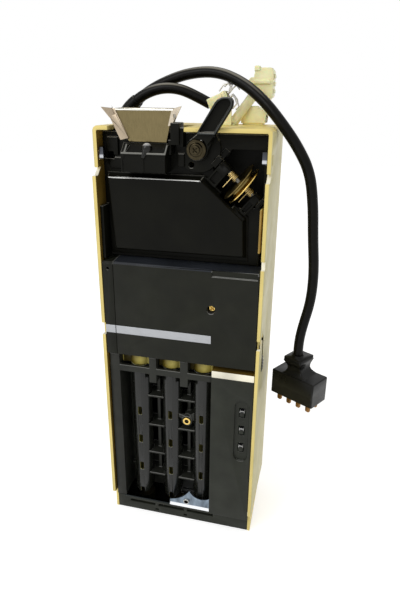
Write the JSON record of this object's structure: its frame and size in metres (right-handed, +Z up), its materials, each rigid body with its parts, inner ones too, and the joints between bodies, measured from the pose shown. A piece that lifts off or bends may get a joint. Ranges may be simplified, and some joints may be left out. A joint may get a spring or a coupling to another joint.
{
  "type": "coin changer dispenser",
  "caption": "Upright coin changer with a sheet metal coin funnel, hinged acceptor gate, return lever, removable tube cassette, button panel and a plugged power lead.",
  "frame": {"origin": "middle of the underside of the housing's footprint, on the base tray's resting face", "axes": "+Z up, -Y out of the open front, +X to the right seen from the front"},
  "size_m": [0.1937, 0.0806, 0.4097],
  "materials": {
    "cream_plastic": "satin, yellowed",
    "black_plastic": "fine moulded texture",
    "cover_plastic": "fine grained satin",
    "cassette_plastic": "satin",
    "tube_plastic": "semi-gloss",
    "silver_print": "satin silver",
    "zinc_plate": "bright zinc",
    "funnel_steel": "brushed",
    "steel": "bright",
    "bronze": "dark bronze plating",
    "brass": "polished",
    "nylon": "yellowed translucent",
    "cord_jacket": "satin",
    "board": "solder mask",
    "components": "matte",
    "solenoid": "plated"
  },
  "bodies": {
    "root": {"rear_housing": "cream_plastic", "housing_screws": "steel", "base_frame": "cream_plastic", "base_plate": "black_plastic", "acceptor_body": "black_plastic", "acceptor_shell": "black_plastic", "sensor_coils": "components", "chute_socket": "black_plastic", "chute_pin": "black_plastic", "funnel": "funnel_steel", "gate_shaft": "steel", "lever_washer": "bronze", "lever_screw": "bronze", "gate_solenoid": "solenoid", "logic_cover": "cover_plastic", "cover_side_strip": "cover_plastic", "silver_stripe": "silver_print", "cover_screw": "brass", "control_board": "board", "power_transformer": "solenoid", "coin_shelf": "cream_plastic", "control_panel": "cover_plastic", "button_board": "board", "payout_solenoids": "solenoid", "lead_glands": "cord_jacket", "power_cord": "cord_jacket", "plug_body": "cord_jacket", "plug_blades": "brass", "accessory_lead": "cord_jacket", "lead_boot": "nylon", "bare_contacts": "steel", "lead_clamp": "nylon", "harness_sleeve": "nylon", "upper_connector": "nylon", "lower_connector": "nylon"},
    "lever": {"return_lever": "black_plastic", "lever_spring": "steel"},
    "gate": {"gate_cover": "black_plastic", "gate_springs": "steel"},
    "wheel": {"grooved_wheel": "brass"},
    "button_upper": {"button_1": "cover_plastic"},
    "button_middle": {"button_2": "cover_plastic"},
    "button_lower": {"button_3": "cover_plastic"},
    "latch_left": {"side_latch_left": "steel"},
    "latch_right": {"side_latch_right": "steel"},
    "cassette": {"cassette_frame": "cassette_plastic", "cassette_back": "cassette_plastic", "tube_clamp": "cassette_plastic", "coin_tube_1": "tube_plastic", "coin_tube_2": "tube_plastic", "coin_tube_3": "tube_plastic", "cassette_screw": "brass", "payout_plate": "zinc_plate", "payout_plate_screw": "steel"},
    "cassette_catch": {"cassette_latch": "black_plastic"},
    "slide_1": {"payout_slide_1": "steel"},
    "slide_2": {"payout_slide_2": "steel"},
    "slide_3": {"payout_slide_3": "steel"},
    "plunger": {"solenoid_plunger": "steel"},
    "flap": {"accept_flap": "black_plastic"}
  },
  "joints": [
    {"name": "return_lever_hinge", "type": "hinge", "parent": "root", "child": "lever", "pos_m": [0.0125, -0.0291, 0.3503], "axis": [0, 1, 0], "range_deg": [0, 22], "stiffness_Nm_per_rad": 0.03, "springref_deg": -20.05},
    {"name": "gate_hinge", "type": "hinge", "parent": "root", "child": "gate", "pos_m": [0.0458, -0.0245, 0.3259], "axis": [-0.7547, 0, 0.6561], "range_deg": [0, 11.5], "stiffness_Nm_per_rad": 0.03, "springref_deg": -11.46},
    {"name": "wheel_spin", "type": "hinge", "parent": "root", "child": "wheel", "pos_m": [0.0458, -0.0245, 0.3259], "axis": [0.7432, 0.1736, -0.6461], "continuous": true},
    {"name": "button_1_press", "type": "slide", "parent": "root", "child": "button_upper", "axis": [0, 1, 0], "range_m": [0, 0.0015], "stiffness_N_per_m": 150, "springref_m": -0.0012},
    {"name": "button_2_press", "type": "slide", "parent": "root", "child": "button_middle", "axis": [0, 1, 0], "range_m": [0, 0.0015], "stiffness_N_per_m": 150, "springref_m": -0.0012},
    {"name": "button_3_press", "type": "slide", "parent": "root", "child": "button_lower", "axis": [0, 1, 0], "range_m": [0, 0.0015], "stiffness_N_per_m": 150, "springref_m": -0.0012},
    {"name": "left_latch_press", "type": "slide", "parent": "root", "child": "latch_left", "axis": [1, 0, 0], "range_m": [0, 0.0025], "stiffness_N_per_m": 220, "springref_m": -0.0015},
    {"name": "right_latch_press", "type": "slide", "parent": "root", "child": "latch_right", "axis": [-1, 0, 0], "range_m": [0, 0.0025], "stiffness_N_per_m": 220, "springref_m": -0.0015},
    {"name": "cassette_slide", "type": "slide", "parent": "root", "child": "cassette", "axis": [0, -1, 0], "range_m": [0, 0.06]},
    {"name": "cassette_latch_slide", "type": "slide", "parent": "root", "child": "cassette_catch", "axis": [0, 0, 1], "range_m": [0, 0.012]},
    {"name": "payout_slide_1_stroke", "type": "slide", "parent": "root", "child": "slide_1", "axis": [0, -1, 0], "range_m": [0, 0.017], "stiffness_N_per_m": 60, "springref_m": -0.004},
    {"name": "payout_slide_2_stroke", "type": "slide", "parent": "root", "child": "slide_2", "axis": [0, -1, 0], "range_m": [0, 0.017], "stiffness_N_per_m": 60, "springref_m": -0.004},
    {"name": "payout_slide_3_stroke", "type": "slide", "parent": "root", "child": "slide_3", "axis": [0, -1, 0], "range_m": [0, 0.017], "stiffness_N_per_m": 60, "springref_m": -0.004},
    {"name": "plunger_stroke", "type": "slide", "parent": "root", "child": "plunger", "axis": [1, 0, 0], "range_m": [0, 0.005], "stiffness_N_per_m": 60, "springref_m": -0.002},
    {"name": "accept_flap_hinge", "type": "hinge", "parent": "root", "child": "flap", "pos_m": [0.0388, -0.0095, 0.29], "axis": [0, -1, 0], "range_deg": [0, 17]}
  ],
  "couplings": [
    {"joint": "gate_hinge", "follows": "return_lever_hinge", "ratio": 0.5},
    {"joint": "accept_flap_hinge", "follows": "plunger_stroke", "rad_per_m": 58}
  ]
}
